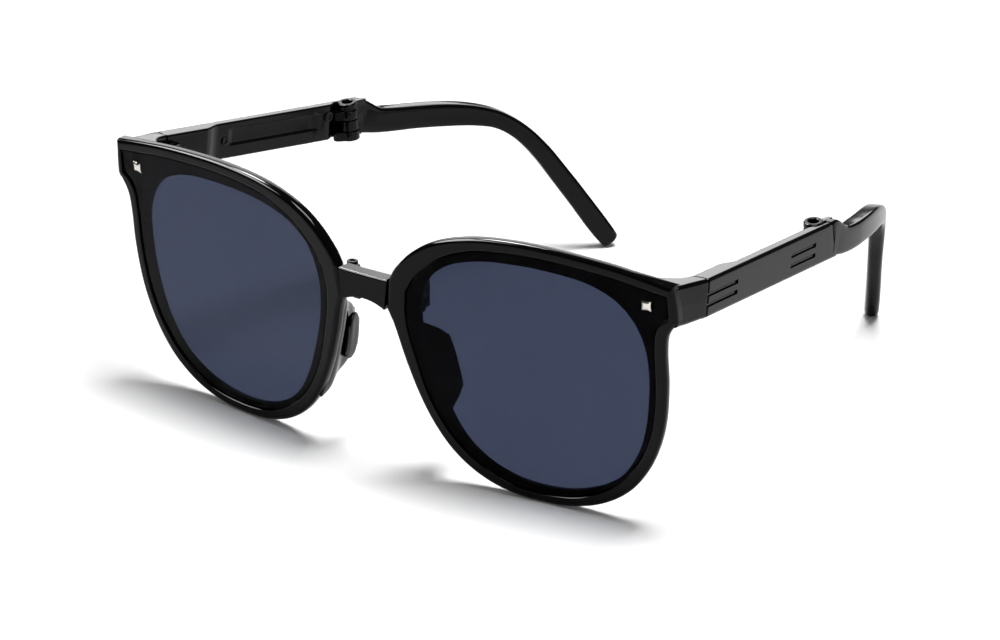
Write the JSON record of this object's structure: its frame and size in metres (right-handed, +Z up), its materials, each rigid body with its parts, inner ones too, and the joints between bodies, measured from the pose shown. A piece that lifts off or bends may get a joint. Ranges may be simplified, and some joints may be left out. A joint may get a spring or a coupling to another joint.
{
  "type": "folding sunglasses",
  "caption": "Open black folding sunglasses with oversize rounded rims, flat dark lenses set in from the front, and temples hinged halfway with curved ear hooks.",
  "frame": {"origin": "on the surface that it stands on, in the middle of the whole width and depth", "axes": "+Z up, the front faces -Y, the temples point to +Y, +X is the wearer's left"},
  "size_m": [0.1476, 0.1415, 0.059],
  "materials": {
    "frame": "gloss",
    "temple": "satin gloss",
    "lens": "polished, tinted",
    "rivet": "polished",
    "pin": "satin",
    "pad": "soft matte"
  },
  "bodies": {
    "bridge": {"bridge": "frame", "right_bridge_pin": "pin", "left_bridge_pin": "pin"},
    "right_front": {"right_rim": "frame", "right_lens": "lens", "right_rivet": "rivet", "right_nose_pad": "pad", "right_hinge_screw": "pin"},
    "right_temple": {"right_temple_front": "temple", "right_mid_pin": "pin"},
    "right_ear_arm": {"right_temple_rear": "temple"},
    "left_front": {"left_rim": "frame", "left_lens": "lens", "left_rivet": "rivet", "left_nose_pad": "pad", "left_hinge_screw": "pin"},
    "left_temple": {"left_temple_front": "temple", "left_mid_pin": "pin"},
    "left_ear_arm": {"left_temple_rear": "temple"}
  },
  "joints": [
    {"name": "right_bridge_hinge", "type": "hinge", "parent": "bridge", "child": "right_front", "pos_m": [-0.0096, -0.06159, 0.0394], "axis": [0, 0, -1], "range_deg": [0, 25]},
    {"name": "right_temple_hinge", "type": "hinge", "parent": "right_front", "child": "right_temple", "pos_m": [-0.0683, -0.05019, 0.05], "axis": [0, 0, -1], "range_deg": [0, 76]},
    {"name": "right_mid_hinge", "type": "hinge", "parent": "right_temple", "child": "right_ear_arm", "pos_m": [-0.06269, 0.00404, 0.04364], "axis": [0.014, 0.1036, -0.9945], "range_deg": [0, 170]},
    {"name": "left_bridge_hinge", "type": "hinge", "parent": "bridge", "child": "left_front", "pos_m": [0.0096, -0.06159, 0.0394], "axis": [0, 0, 1], "range_deg": [0, 25]},
    {"name": "left_temple_hinge", "type": "hinge", "parent": "left_front", "child": "left_temple", "pos_m": [0.0683, -0.05019, 0.05], "axis": [0, 0, 1], "range_deg": [0, 76]},
    {"name": "left_mid_hinge", "type": "hinge", "parent": "left_temple", "child": "left_ear_arm", "pos_m": [0.06269, 0.00404, 0.04364], "axis": [0.014, -0.1036, 0.9945], "range_deg": [0, 170]}
  ]
}
